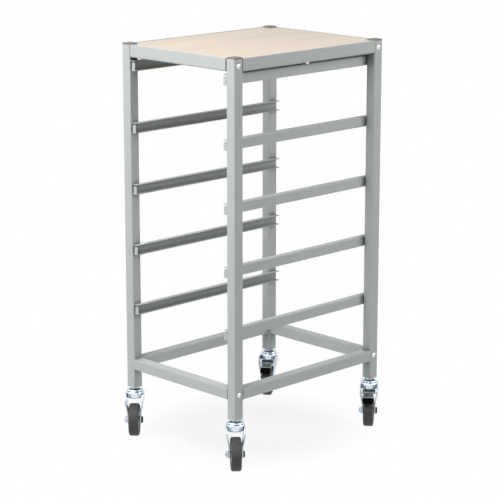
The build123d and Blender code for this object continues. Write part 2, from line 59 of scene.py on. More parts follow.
MM = 0.001
CORNERS = ("front_left", "front_right", "rear_left", "rear_right")
BRAKED_CORNERS = ("rear_left", "rear_right")
JOINTS = {joint["name"]: joint for joint in frame["joints"]}
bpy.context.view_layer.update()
WHEEL_LOW, WHEEL_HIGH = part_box("tyre_front_left")
WHEEL_RADIUS = (WHEEL_HIGH.z - WHEEL_LOW.z) / 2


def swivel_point(corner):
    return Vector(JOINTS["swivel_" + corner]["pos_m"])


def wheel_point(corner):
    return Vector(JOINTS["roll_" + corner]["pos_m"])


def castor_turn(corner):
    """Angle about Z from the castor's own axes, where the axle lies along Y, to its rest heading."""
    axle = JOINTS["roll_" + corner]["axis"]
    return atan2(axle[1], axle[0]) - pi / 2


TRAIL = (wheel_point("front_left") - swivel_point("front_left")).xy.length
WELD_DISTANCE = MM / 1000

# Millimetres that castor pieces share: holes are radii, and places are (x, z) in the castor's own axes

AXLE_HOLE = 4.05
STEM_HOLE = 5.06
RACE_TOP = 106.8
CROWN_TOP = 101.5
CROWN_FOOT = 86.2
CROWN_RADIUS = 21
BRAKE_PIN = (26, 80.5)
BRAKE_PIN_HOLE = 2.05
LEVER_KNEE = (33, 82.6)
LEVER_SLOPE = radians(25.5)
LEVER_HALF_WIDTH = 12.6
LEVER_EDGE = 0.35


# Settings


class TrolleySizes(bpy.types.PropertyGroup):
    """Sizes of the castors that a user may want to change."""

    wheel_radius: FloatProperty(
        name="Wheel radius", description="Radius over the tread", default=WHEEL_RADIUS, unit="LENGTH"
    )
    wheel_width: FloatProperty(
        name="Wheel width", description="Width over the tyre's sides", default=23 * MM, unit="LENGTH"
    )
    tyre_inside: FloatProperty(
        name="Tyre inside", description="Radius where tyre and hub meet", default=27.5 * MM, unit="LENGTH"
    )
    edge_round: FloatProperty(
        name="Edge rounding", description="Rounding of pressed steel edges", default=0.5 * MM, unit="LENGTH"
    )
    turn_steps: IntProperty(
        name="Turning steps", description="Facets round a turned piece", default=96, min=24, max=180
    )


class TrolleyColours(bpy.types.PropertyGroup):
    """Colours of the finishes."""

    paint: FloatVectorProperty(
        name="Paint", description="Silver-grey powder coat", subtype="COLOR", default=(0.575, 0.605, 0.60)
    )
    board: FloatVectorProperty(
        name="Board", description="Pale beech laminate", subtype="COLOR", default=(0.80, 0.69, 0.575)
    )
    caps: FloatVectorProperty(
        name="Caps", description="Grey plastic of the leg caps", subtype="COLOR", default=(0.27, 0.26, 0.225)
    )
    zinc: FloatVectorProperty(
        name="Zinc", description="Bright zinc plate", subtype="COLOR", default=(0.52, 0.575, 0.605)
    )
    screws: FloatVectorProperty(
        name="Screws", description="Bright plated screws", subtype="COLOR", default=(0.85, 0.84, 0.80)
    )
    dull_zinc: FloatVectorProperty(
        name="Dull zinc", description="Plate of the levers", subtype="COLOR", default=(0.23, 0.255, 0.245)
    )
    rubber: FloatVectorProperty(
        name="Rubber", description="Tyre rubber", subtype="COLOR", default=(0.048, 0.048, 0.049)
    )
    hub: FloatVectorProperty(
        name="Hub", description="Light grey hub plastic", subtype="COLOR", default=(0.50, 0.50, 0.51)
    )
    black: FloatVectorProperty(
        name="Black", description="Black plastic and steel", subtype="COLOR", default=(0.0015, 0.0015, 0.0015)
    )


class TrolleyStudio(bpy.types.PropertyGroup):
    """Camera and light of the photo studio."""

    camera_place: FloatVectorProperty(
        name="Camera", description="Place of the camera", subtype="XYZ", unit="LENGTH",
        default=(3.0293, -2.9839, 1.4455),
    )
    camera_yaw: FloatProperty(
        name="Yaw", description="Turn of the camera to the left", subtype="ANGLE", default=radians(45.53)
    )
    camera_pitch: FloatProperty(
        name="Pitch", description="How far the camera looks down", subtype="ANGLE", default=radians(13.52)
    )
    camera_lens: FloatProperty(
        name="Lens", description="Focal length in millimetres", subtype="DISTANCE_CAMERA", default=138.55
    )
    front_power: FloatProperty(
        name="Front light", description="Power of the softbox above the front", unit="POWER", default=45
    )
    right_power: FloatProperty(
        name="Right light", description="Power of the softbox on the right", unit="POWER", default=17.5
    )
    left_power: FloatProperty(
        name="Left light", description="Power of the low softbox at the front left", unit="POWER", default=12
    )
    back_power: FloatProperty(
        name="Back light", description="Power of the low softbox at the back left", unit="POWER", default=16
    )
    room_light: FloatProperty(
        name="Room light", description="Strength of the even light all round", default=0.02
    )
    floor_size: FloatProperty(
        name="Floor", description="Side of the floor", unit="LENGTH", default=60
    )


# Modelling: pieces of a castor are made in millimetres and in its own axes, with the swivel on Z


def deselect_all():
    if bpy.context.object and bpy.context.object.mode != "OBJECT":
        bpy.ops.object.mode_set(mode="OBJECT")
    bpy.ops.object.select_all(action="DESELECT")


def select_only(piece):
    deselect_all()
    piece.select_set(True)
    bpy.context.view_layer.objects.active = piece


def edit_whole(piece):
    select_only(piece)
    bpy.ops.object.mode_set(mode="EDIT")
    bpy.ops.mesh.select_all(action="SELECT")


def end_edit():
    bpy.ops.object.mode_set(mode="OBJECT")


def tidy_mesh(piece):
    """Merges doubles and turns all faces outwards."""
    edit_whole(piece)
    bpy.ops.mesh.remove_doubles(threshold=WELD_DISTANCE)
    bpy.ops.mesh.normals_make_consistent(inside=False)
    end_edit()


def draw_line(name, points):
    """Keeps one point of a new plane and extrudes it from point to point."""
    places = [Vector(point) * MM for point in points]
    deselect_all()
    bpy.ops.mesh.primitive_plane_add(size=MM, location=(0, 0, 0))
    piece = bpy.context.object
    piece.name = piece.data.name = name
    edit_whole(piece)
    bpy.ops.mesh.merge(type="CENTER")
    bpy.ops.transform.translate(value=places[0])
    for here, there in zip(places, places[1:]):
        bpy.ops.mesh.extrude_region_move(TRANSFORM_OT_translate={"value": there - here})
    end_edit()
    return piece


def turned(name, outline):
    """Turns a closed outline of (radius, height) points about the Z axis."""
    points = [(radius, 0, height) for radius, height in outline]
    piece = draw_line(name, points + points[:1])
    edit_whole(piece)
    bpy.ops.mesh.remove_doubles(threshold=WELD_DISTANCE)
    steps = bpy.context.scene.trolley_sizes.turn_steps
    bpy.ops.mesh.spin(steps=steps, angle=2 * pi, center=(0, 0, 0), axis=(0, 0, 1))
    end_edit()
    tidy_mesh(piece)
    return piece


def pulled(name, points, pull):
    """Fills an outline and pulls it out to a solid."""
    piece = draw_line(name, points)
    edit_whole(piece)
    bpy.ops.mesh.edge_face_add()
    bpy.ops.mesh.extrude_region_move(TRANSFORM_OT_translate={"value": Vector(pull) * MM})
    end_edit()
    tidy_mesh(piece)
    return piece


def plate(name, outline, low, high):
    """Plate with an outline of (x, z) points seen from the side, from low to high along the axle."""
    return pulled(name, [(x, low, z) for x, z in outline], (0, high - low, 0))


def slab(name, outline, low, high):
    """Slab with an outline of (x, y) points seen from above, between two heights."""
    return pulled(name, [(x, y, low) for x, y in outline], (0, 0, high - low))


def strip(name, outline, low, high):
    """Bar with a cross-section of (y, z) points, from low to high along the trail."""
    return pulled(name, [(low, y, z) for y, z in outline], (high - low, 0, 0))


def arc(centre, radius, start, end, steps=8):
    """Points on an arc between two angles in degrees."""
    angles = [radians(start + (end - start) * i / steps) for i in range(steps + 1)]
    return [(centre[0] + radius * cos(a), centre[1] + radius * sin(a)) for a in angles]


def mirrored(half):
    """Half an outline followed by its mirror image, where the second value of each point changes sign."""
    return half + [(along, -across) for along, across in reversed(half)]


def hexagon_bar(name, across, low, high, both_ends=False):
    """Upright hexagon bar with its corners turned off at 30 degrees, on top or at both ends."""
    spare = 1
    corner = across / sqrt(3)
    flat = 0.47 * across
    outside = corner + spare
    drop = (outside - flat) * tan(radians(30))
    if both_ends:
        bar_low = low - spare
        foot = [(0, low), (flat, low), (outside, low + drop)]
    else:
        bar_low = low
        foot = [(0, low - spare), (outside, low - spare)]
    bar = slab(name, arc((0, 0), corner, 0, 300, 5), bar_low, high + spare)
    tool = turned("turning_tool", foot + [(outside, high - drop), (flat, high), (0, high)])
    combine(bar, tool, "INTERSECT")
    return bar


def drill(piece, radius, x, z):
    """Drills through a castor piece along the axle's direction."""
    facets = 48
    length = 100 * MM
    deselect_all()
    bpy.ops.mesh.primitive_cylinder_add(
        vertices=facets, radius=radius * MM, depth=length,
        location=(x * MM, 0, z * MM), rotation=(pi / 2, 0, 0),
    )
    combine(piece, bpy.context.object, "DIFFERENCE")


def apply_modifier(piece, kind, **settings):
    modifier = piece.modifiers.new(kind.lower(), kind)
    for key, value in settings.items():
        setattr(modifier, key, value)
    select_only(piece)
    bpy.ops.object.modifier_apply(modifier=modifier.name)


def combine(piece, tool, operation):
    """Joins, cuts or keeps the common part of two solids. The tool is used up."""
    apply_modifier(piece, "BOOLEAN", operation=operation, solver="EXACT", object=tool)
    bpy.data.objects.remove(tool)
    tidy_mesh(piece)


def soften(piece, width, segments=2):
    """Rounds the edges of a piece where its faces meet at more than 40 degrees."""
    apply_modifier(
        piece, "BEVEL", width=width, segments=segments, limit_method="ANGLE", angle_limit=radians(40)
    )


def smooth(piece, angle=35):
    """Shades rounded edges smoothly and keeps flat faces flat."""
    select_only(piece)
    bpy.ops.object.shade_smooth_by_angle(angle=radians(angle))
    apply_modifier(piece, "WEIGHTED_NORMAL", mode="FACE_AREA", weight=90, keep_sharp=True)


def join(pieces):
    deselect_all()
    for piece in pieces:
        piece.select_set(True)
    bpy.context.view_layer.objects.active = pieces[0]
    bpy.ops.object.join()
    return bpy.context.object


def copy_of(piece, name):
    twin = piece.copy()
    twin.data = piece.data.copy()
    twin.name = twin.data.name = name
    bpy.context.scene.collection.objects.link(twin)
    return twin


def bake_place(piece):
    select_only(piece)
    bpy.ops.object.transform_apply(location=True, rotation=True, scale=True)


def lay_on_axle(piece):
    """Lays an upright turned piece on the wheel's axle: its top goes to +Y."""
    piece.rotation_euler.x = -pi / 2
    piece.location = (TRAIL, 0, WHEEL_RADIUS)
    bake_place(piece)


def put_at(piece, corner):
    """Turns a castor piece to its corner's heading and moves it there."""
    piece.rotation_euler.z = castor_turn(corner)
    piece.location = swivel_point(corner).xy.to_3d()
    bake_place(piece)


def mark_faces(piece, chosen):
    """Gives the faces whose middle is chosen, by its place in millimetres, the piece's second finish."""
    for face in piece.data.polygons:
        face.material_index = 1 if chosen(*(face.center / MM)) else 0


def stand_for(piece, node, body, finishes):
    """Shows a piece in place of a node of the frame."""
    for finish in finishes:
        piece.data.materials.append(finish_called(finish))
    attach(piece, body)
    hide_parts(node)


def fit_to_corners(pattern, stem, corners, body, finishes):
    """Copies a castor piece to each of the corners, where it stands for that corner's node."""
    for corner in corners:
        piece = copy_of(pattern, f"shown_{stem}_{corner}")
        put_at(piece, corner)
        stand_for(piece, f"{stem}_{corner}", f"{body}_{corner}", finishes)
    bpy.data.objects.remove(pattern)


def fit_as_one(pattern, node, finishes):
    """Copies a castor piece to all corners and joins the copies, to stand for one node of the frame."""
    copies = []
    for corner in CORNERS:
        piece = copy_of(pattern, "shown_" + node)
        put_at(piece, corner)
        copies.append(piece)
    stand_for(join(copies), node, "frame", finishes)
    bpy.data.objects.remove(pattern)


def finish_piece(piece, material):
    piece.data.materials.clear()
    piece.data.materials.append(material)


def finish_nodes(names, finish):
    for name in names:
        finish_piece(frame["nodes"][name], finish_called(finish))


def nodes_of(*stems):
    """Names of the frame's nodes that start with one of the stems."""
    return [name for name in sorted(frame["nodes"]) if name.startswith(stems)]


# Finishes: all patterns lie in the object's own coordinates


class Wiring:
    """A node tree in the making, with the small steps that the finishes, the floor and the room share."""

    def __init__(self, tree):
        self.tree = tree

    def node(self, kind, **settings):
        made = self.tree.nodes.new(kind)
        for key, value in settings.items():
            setattr(made, key, value)
        return made

    def link(self, output, target):
        self.tree.links.new(output, target)

    def feed(self, value, socket):
        """Links a pattern to a socket, or gives the socket a plain number or colour."""
        if isinstance(value, bpy.types.NodeSocket):
            self.link(value, socket)
        elif isinstance(value, float):
            socket.default_value = value
        else:
            socket.default_value = (*value[:3], 1.0)

    def maths(self, operation, first, second):
        step = self.node("ShaderNodeMath", operation=operation)
        self.feed(first, step.inputs[0])
        self.feed(second, step.inputs[1])
        return step.outputs["Value"]

    def ranged(self, value, low=0.0, high=1.0, start=0.3, end=0.7):
        """Maps a pattern from start..end to low..high."""
        ranged = self.node("ShaderNodeMapRange")
        ranged.inputs["From Min"].default_value = start
        ranged.inputs["From Max"].default_value = end
        ranged.inputs["To Min"].default_value = low
        ranged.inputs["To Max"].default_value = high
        self.link(value, ranged.inputs["Value"])
        return ranged.outputs["Result"]

    def seen_directly(self):
        """1 for rays from the camera, mirrors and glass, and 0 for the light that falls on the object."""
        path = self.node("ShaderNodeLightPath")
        seen = path.outputs["Is Camera Ray"]
        for kind in ("Is Glossy Ray", "Is Transmission Ray"):
            seen = self.maths("MAXIMUM", seen, path.outputs[kind])
        return seen


class Finish(Wiring):
    """A material in the making, with the steps that only the finishes share."""

    def __init__(self, name):
        self.material = bpy.data.materials.new(name)
        self.material.use_nodes = True
        super().__init__(self.material.node_tree)
        self.shader = self.tree.nodes["Principled BSDF"]
        self.place = self.node("ShaderNodeTexCoord").outputs["Object"]

    def stretched(self, scale):
        mapping = self.node("ShaderNodeMapping")
        mapping.inputs["Scale"].default_value = scale
        self.link(self.place, mapping.inputs["Vector"])
        return mapping.outputs["Vector"]

    def noise(self, scale, detail=2.0, rough=0.5, place=None):
        noise = self.node("ShaderNodeTexNoise")
        noise.inputs["Scale"].default_value = scale
        noise.inputs["Detail"].default_value = detail
        noise.inputs["Roughness"].default_value = rough
        self.link(place or self.place, noise.inputs["Vector"])
        return noise.outputs["Fac"]

    def mixed(self, share, first, second):
        """Mixes two colours or coloured patterns, by a pattern or a fixed share."""
        mix = self.node("ShaderNodeMix", data_type="RGBA")
        self.feed(share, mix.inputs["Factor"])
        self.feed(first, mix.inputs["A"])
        self.feed(second, mix.inputs["B"])
        return mix.outputs["Result"]

    def colour(self, output):
        self.link(output, self.shader.inputs["Base Color"])

    def roughness(self, output):
        self.link(output, self.shader.inputs["Roughness"])

    def bump(self, heights, distance, strength, under=None):
        """Raises the surface by a pattern, on top of the normals under it."""
        bump = self.node("ShaderNodeBump")
        bump.inputs["Strength"].default_value = strength
        bump.inputs["Distance"].default_value = distance
        self.link(heights, bump.inputs["Height"])
        if under:
            self.link(under, bump.inputs["Normal"])
        self.link(bump.outputs["Normal"], self.shader.inputs["Normal"])

    def edges(self, radius):
        """Normals softened near edges, and a pattern of how far they differ from the flat ones."""
        bevel = self.node("ShaderNodeBevel", samples=6)
        bevel.inputs["Radius"].default_value = radius
        geometry = self.node("ShaderNodeNewGeometry")
        dot = self.node("ShaderNodeVectorMath", operation="DOT_PRODUCT")
        self.link(bevel.outputs["Normal"], dot.inputs[0])
        self.link(geometry.outputs["Normal"], dot.inputs[1])
        return bevel.outputs["Normal"], self.ranged(dot.outputs["Value"], 1.0, 0.0, 0.72, 0.98)

    def corners(self, reach):
        """Mask for painted shade: 0 in corners and under overhangs, and 1 on open faces."""
        nearness = self.node("ShaderNodeAmbientOcclusion", samples=8)
        nearness.inputs["Distance"].default_value = reach
        return self.ranged(nearness.outputs["AO"], 0.0, 1.0, 0.25, 0.85)

    def set(self, **values):
        for key, value in values.items():
            self.shader.inputs[key.replace("_", " ")].default_value = value


def shade(colour, factor):
    return tuple(min(1.0, channel * factor) for channel in colour[:3])


def powder_coat(name, colour, reach):
    """Silver-grey powder coat: fine orange peel with flakes, paler on edges, partly worn thin and partly a
    painted highlight, and darkened with painted shade in deep corners.
    """
    finish = Finish(name)
    soft_normal, edge = finish.edges(1.0 * MM)
    cloud = finish.ranged(finish.noise(6, 3))
    flake = finish.ranged(finish.noise(1800, 2, 0.6), start=0.35, end=0.65)
    body = finish.mixed(cloud, shade(colour, 0.965), shade(colour, 1.035))
    flaked = finish.mixed(flake, shade(colour, 0.90), shade(colour, 1.10))
    # Edges paler: partly the coat worn thin, partly a painted highlight.
    worn_and_highlit = finish.maths("MULTIPLY", edge, 0.6)
    coated = finish.mixed(worn_and_highlit, finish.mixed(0.5, body, flaked), shade(colour, 1.5))
    # Painted shade: darker in corners and near other parts, as far as the reach.
    finish.colour(finish.mixed(finish.corners(reach), shade(colour, 0.2), coated))
    finish.roughness(finish.ranged(finish.noise(40, 4), 0.40, 0.52))
    finish.bump(finish.noise(700, 3, 0.6), 0.05 * MM, 0.5, soft_normal)
    finish.set(Metallic=0.05, Specular_IOR_Level=0.3)
    return finish.material


def beech_laminate(name, colour):
    """Pale beech-pattern laminate: soft bands, fine pores and short flecks, all running front to back."""
    finish = Finish(name)
    bands = finish.ranged(finish.noise(1, 3, 0.55, finish.stretched((26, 2.2, 1))))
    grain = finish.ranged(finish.noise(1, 6, 0.65, finish.stretched((420, 9, 1))))
    flecks = finish.ranged(finish.noise(1, 1, 0.5, finish.stretched((900, 60, 1))), start=0.66, end=0.76)
    base = finish.mixed(bands, shade(colour, 0.93), shade(colour, 1.06))
    rosy = (colour[0] * 0.90, colour[1] * 0.80, colour[2] * 0.72)
    grained = finish.mixed(finish.maths("MULTIPLY", grain, 0.28), base, rosy)
    fleck = finish.maths("MULTIPLY", flecks, 0.30)
    finish.colour(finish.mixed(fleck, grained, shade(colour, 0.55)))
    finish.roughness(finish.ranged(grain, 0.38, 0.48, 0.0, 1.0))
    finish.bump(grain, 0.02 * MM, 0.4)
    finish.set(Specular_IOR_Level=0.3)
    return finish.material


def zinc_plate(name, colour):
    """Zinc plate: a faint blue bloom, small handling marks, and painted shade in the corners."""
    finish = Finish(name)
    soft_normal = finish.edges(0.3 * MM)[0]
    bloom = finish.ranged(finish.noise(90, 3))
    bluish = (colour[0] * 0.90, colour[1] * 0.95, colour[2])
    bright = finish.mixed(bloom, bluish, shade(colour, 1.06))
    # Painted shade: darker in corners and near other parts.
    finish.colour(finish.mixed(finish.corners(2 * MM), shade(colour, 0.3), bright))
    finish.roughness(finish.ranged(finish.noise(260, 5, 0.6), 0.16, 0.32))
    finish.bump(finish.noise(900, 2), 0.02 * MM, 0.25, soft_normal)
    finish.set(Metallic=1.0)
    return finish.material


def dull_zinc(name, colour):
    """Zinc plate that has gone dull and a little green, paler on edges, partly worn bright and partly a
    painted highlight, and with painted shade in corners such as under the crown.
    """
    finish = Finish(name)
    soft_normal, edge = finish.edges(0.3 * MM)
    bloom = finish.ranged(finish.noise(120, 3))
    dull = finish.mixed(bloom, shade(colour, 0.85), shade(colour, 1.15))
    # Edges paler: partly worn bright, partly a painted highlight.
    worn_and_highlit = finish.mixed(edge, dull, shade(colour, 3))
    # Painted shade: darker in corners and under the crown.
    finish.colour(finish.mixed(finish.corners(8 * MM), shade(colour, 0.15), worn_and_highlit))
    finish.roughness(finish.ranged(finish.noise(260, 5, 0.6), 0.26, 0.40))
    finish.bump(finish.noise(900, 2), 0.02 * MM, 0.25, soft_normal)
    finish.set(Metallic=1.0)
    return finish.material


def steel_finish(name, colour, rough, reach):
    """Plated or polished steel of the small hardware, with painted shade in its sockets and corners."""
    finish = Finish(name)
    cloud = finish.ranged(finish.noise(300, 2))
    bright = finish.mixed(cloud, shade(colour, 0.9), shade(colour, 1.1))
    # Painted shade: darker in sockets and corners.
    finish.colour(finish.mixed(finish.corners(reach), shade(colour, 0.05), bright))
    finish.roughness(finish.ranged(finish.noise(800, 3), rough * 0.8, rough * 1.2))
    finish.set(Metallic=1.0)
    return finish.material


def moulded_rubber(name, colour):
    """Moulded rubber with a fine grain and a little grey dust."""
    finish = Finish(name)
    dust_colour = (0.12, 0.118, 0.115)
    dust = finish.ranged(finish.noise(120, 5, 0.7), 0.0, 0.35, 0.45, 0.75)
    finish.colour(finish.mixed(dust, colour, dust_colour))
    finish.roughness(finish.ranged(finish.noise(400, 3), 0.52, 0.70))
    finish.bump(finish.noise(1500, 3, 0.6), 0.03 * MM, 0.5)
    return finish.material


def moulded_plastic(name, colour, rough, gloss):
    """Injection-moulded plastic with a spark-eroded skin."""
    finish = Finish(name)
    tone = finish.ranged(finish.noise(60, 3))
    finish.colour(finish.mixed(tone, shade(colour, 0.93), shade(colour, 1.07)))
    finish.roughness(finish.ranged(finish.noise(300, 2), rough * 0.9, rough * 1.1))
    finish.bump(finish.noise(1200, 2), 0.03 * MM, 0.35)
    finish.set(Specular_IOR_Level=gloss)
    return finish.material


def finish_recipes(colours):
    """Each finish by its name: what makes it, its colour, and its other settings."""
    return {
        # The coats differ in how far their painted shade reaches: far on legs and bottom rails, so faces
        # inside the frame darken, less on runners and least on top rails.
        "powder_coat": (powder_coat, colours.paint, 150 * MM),
        "top_rail_coat": (powder_coat, colours.paint, 2.5 * MM),
        "runner_coat": (powder_coat, colours.paint, 20 * MM),
        "beech_laminate": (beech_laminate, colours.board),
        "zinc_plate": (zinc_plate, colours.zinc),
        # A lighter copy of the zinc plate: a painted highlight on the crowns and top races.
        "bright_zinc": (zinc_plate, shade(colours.zinc, 1.4)),
        "dull_zinc": (dull_zinc, colours.dull_zinc),
        "moulded_rubber": (moulded_rubber, colours.rubber),
        "hub_moulding": (moulded_plastic, colours.hub, 0.45, 0.4),
        "cap_moulding": (moulded_plastic, colours.caps, 0.8, 0.15),
        "black_moulding": (moulded_plastic, colours.black, 0.85, 0.06),
        "black_oxide": (steel_finish, shade(colours.black, 6), 0.4, 1 * MM),
        "bright_steel": (steel_finish, colours.screws, 0.35, 2.5 * MM),
        # Lighter steel: real polish on the balls, and on the lever rims partly polish and partly a painted
        # highlight.
        "polished_steel": (steel_finish, shade(colours.zinc, 1.65), 0.16, 0.3 * MM),
    }


def finish_called(name):
    """Looks a finish up, or makes it the first time that it is asked for."""
    known = bpy.data.materials.get(name)
    if known:
        return known
    maker, *settings = finish_recipes(bpy.context.scene.trolley_colours)[name]
    return maker(name, *settings)


# Pieces


class TROLLEY_OT_frame_finish(bpy.types.Operator):
    """Paint the legs, rails and tray runners, and finish the board, caps, screws and small inner pieces"""

    bl_idname = "trolley.frame_finish"
    bl_label = "Frame, Board and Screws"

    def execute(self, context):
        # Each coat carries painted shade near other parts, as far as its reach.
        finish_nodes(nodes_of("leg_front", "leg_rear", "bottom_rail"), "powder_coat")
        finish_nodes(nodes_of("top_rail"), "top_rail_coat")
        finish_nodes(nodes_of("runner"), "runner_coat")
        finish_nodes(["top_board"], "beech_laminate")
        finish_nodes(["leg_caps"], "cap_moulding")
        finish_nodes(["frame_screws", "board_screws"], "bright_steel")
        finish_nodes(["castor_balls"], "polished_steel")
        finish_nodes(["rail_plugs", "castor_plugs"], "black_moulding")
        finish_nodes(nodes_of("brake_pin", "brake_spring"), "zinc_plate")
        return {"FINISHED"}


class TROLLEY_OT_castor_tops(bpy.types.Operator):
    """Make the castors' stems with their hexagon collars, and the top races of the swivels"""

    bl_idname = "trolley.castor_tops"
    bl_label = "Castor Tops"

    def execute(self, context):
        stem = self.stem()
        smooth(stem, 20)
        fit_as_one(stem, "castor_stems", ["zinc_plate"])
        race = self.race()
        smooth(race)
        # The races take the lighter zinc copy, a painted highlight.
        fit_as_one(race, "castor_top_races", ["bright_zinc"])
        return {"FINISHED"}

    def stem(self):
        """Stem with a flat head inside the crown, and a hexagon collar on the race."""
        head = [(0, 94.5), (8.2, 94.5), (9, 95.3), (9, 97.7), (8.2, 98.5)]
        shank = [(5, 98.5), (5, 136), (4, 137), (0, 137)]
        stem = turned("stem", head + shank)
        combine(stem, hexagon_bar("collar", 17, RACE_TOP, 111, both_ends=True), "UNION")
        return stem

    def race(self):
        """Cap over the balls, with a shoulder that is a quarter of an ellipse, and a turned-down rim."""
        width, height = 10, 3.4
        flat = 9.5
        angles = [radians(15 * step) for step in range(7)]
        shoulder = [(flat + width * sin(a), RACE_TOP - height + height * cos(a)) for a in angles]
        rim = [(19.1, 103), (18.1, 103), (17.7, 103.4), (17.7, 104.4)]
        under = [(16.5, 104.6), (STEM_HOLE, 104.6)]
        return turned("race", [(STEM_HOLE, RACE_TOP), *shoulder, *rim, *under])


class TROLLEY_OT_forks(bpy.types.Operator):
    """Press the castor forks: a turned crown with a rolled edge, and two bent arms with axle eyes"""

    bl_idname = "trolley.forks"
    bl_label = "Forks"

    def execute(self, context):
        sizes = context.scene.trolley_sizes
        fork = self.crown()
        for side in (1, -1):
            arm = self.arm(side)
            soften(arm, sizes.edge_round)
            combine(fork, arm, "UNION")
        drill(fork, AXLE_HOLE, TRAIL / MM, WHEEL_RADIUS / MM)
        braked = copy_of(fork, "braked_fork")
        drill(braked, BRAKE_PIN_HOLE, *BRAKE_PIN)
        unbraked = [corner for corner in CORNERS if corner not in BRAKED_CORNERS]
        for pattern, corners in ((fork, unbraked), (braked, BRAKED_CORNERS)):
            mark_faces(pattern, self.is_crown)
            smooth(pattern)
            # The crowns take the lighter zinc copy, a painted highlight.
            fit_to_corners(pattern, "fork", corners, "castor", ["zinc_plate", "bright_zinc"])
        return {"FINISHED"}

    def is_crown(self, x, y, z):
        """True on the turned crown, with a little room around it."""
        return z > CROWN_FOOT - 0.1 and sqrt(x * x + y * y) < CROWN_RADIUS + 0.2

    def crown(self):
        """Cup over the swivel's balls, with a rounded shoulder and a rolled lower edge."""
        shoulder = 4.8
        roll = 2.4
        cup = 18.4
        outside = [
            *arc((CROWN_RADIUS - shoulder, CROWN_TOP - shoulder), shoulder, 90, 0),
            *arc((CROWN_RADIUS - roll, CROWN_FOOT + roll), roll, 0, -90),
        ]
        inside = [(cup, CROWN_FOOT + 0.4), (cup, 98), (cup - 0.9, 98.9), (STEM_HOLE, 98.9)]
        return turned("crown", [(STEM_HOLE, CROWN_TOP), *outside, *inside])

    def arm(self, side):
        """Arm bent in from the crown to the wheel, and cut to its outline with a round eye."""
        sheet = 3
        outer = [(20.9, 97), (20.9, 81), (20.7, 79), (16.2, 55), (16, 53), (16, 24)]
        bend = outer + [(y - sheet, z) for y, z in reversed(outer)]
        arm = strip("arm", [(side * y, z) for y, z in bend], -30, 40)
        eye = arc((TRAIL / MM, WHEEL_RADIUS / MM), 9.5, 0, -160, 20)
        blade = [(-13, 97), (24, 97), (34, 87), (34, 70.5), *eye, (-13, 80)]
        combine(arm, plate("blade", blade, -25, 25), "INTERSECT")
        return arm


class TROLLEY_OT_axles(bpy.types.Operator):
    """Make the axle bolts with black hexagon heads, and their nuts"""

    bl_idname = "trolley.axles"
    bl_label = "Axles"

    def execute(self, context):
        bolt = turned("bolt", [(0, -22.5), (3.4, -22.5), (4, -21.9), (4, 17), (0, 17)])
        combine(bolt, hexagon_bar("head", 13, 16, 19.6), "UNION")
        nut = hexagon_bar("nut", 13, -21.5, -16, both_ends=True)
        thread = turned("thread", [(0, -23), (AXLE_HOLE, -23), (AXLE_HOLE, -15), (0, -15)])
        combine(nut, thread, "DIFFERENCE")
        for pattern, stem, finish, slot in (
            (bolt, "axle_bolt", "black_oxide", "black_steel"),
            (nut, "axle_nut", "zinc_plate", "zinc"),
        ):
            smooth(pattern, 20)
            lay_on_axle(pattern)
            fit_to_corners(pattern, stem, CORNERS, "castor", [finish])
        return {"FINISHED"}


class TROLLEY_OT_hubs(bpy.types.Operator):
    """Turn the plastic wheel hubs: boss, dished web and rim, with moulded fillets"""

    bl_idname = "trolley.hubs"
    bl_label = "Hubs"

    def execute(self, context):
        rim = context.scene.trolley_sizes.tyre_inside / MM
        boss = [(AXLE_HOLE, 12.2), (AXLE_HOLE + 0.4, 12.6), (7.5, 12.6), (8, 12.1)]
        web = [(8.5, 9), (9.3, 8.2), (10.4, 8), (rim - 4.6, 8), (rim - 3.7, 8.5)]
        edge = [(rim - 3.2, 9.5), (rim - 2.7, 10), (rim - 0.5, 10), (rim, 9.5)]
        hub = turned("hub", mirrored(boss + web + edge))
        smooth(hub, 50)
        lay_on_axle(hub)
        fit_to_corners(hub, "hub", CORNERS, "wheel", ["hub_moulding"])
        return {"FINISHED"}


class TROLLEY_OT_tyres(bpy.types.Operator):
    """Turn the rubber tyres with their shoulders, parting line and bead grooves"""

    bl_idname = "trolley.tyres"
    bl_label = "Tyres"

    def execute(self, context):
        sizes = context.scene.trolley_sizes
        radius = sizes.wheel_radius / MM
        half = sizes.wheel_width / MM / 2
        inside = sizes.tyre_inside / MM
        shoulder = 4.5
        parting_line = 0.15
        tread = radius - parting_line
        groove = inside + 2.2
        flank = [
            *arc((tread - shoulder, half - shoulder), shoulder, 8, 90, 10),
            (groove + 0.9, half),
            (groove + 0.5, half - 0.6),
            (groove - 0.5, half - 0.6),
            (groove - 0.9, half - 0.1),
            (inside + 0.5, half - 0.3),
            (inside, half - 1.2),
        ]
        side = [(radius, 0.25), (tread, 0.7), *flank]
        tyre = turned("tyre", mirrored(side))
        smooth(tyre, 30)
        lay_on_axle(tyre)
        fit_to_corners(tyre, "tyre", CORNERS, "wheel", ["moulded_rubber"])
        return {"FINISHED"}


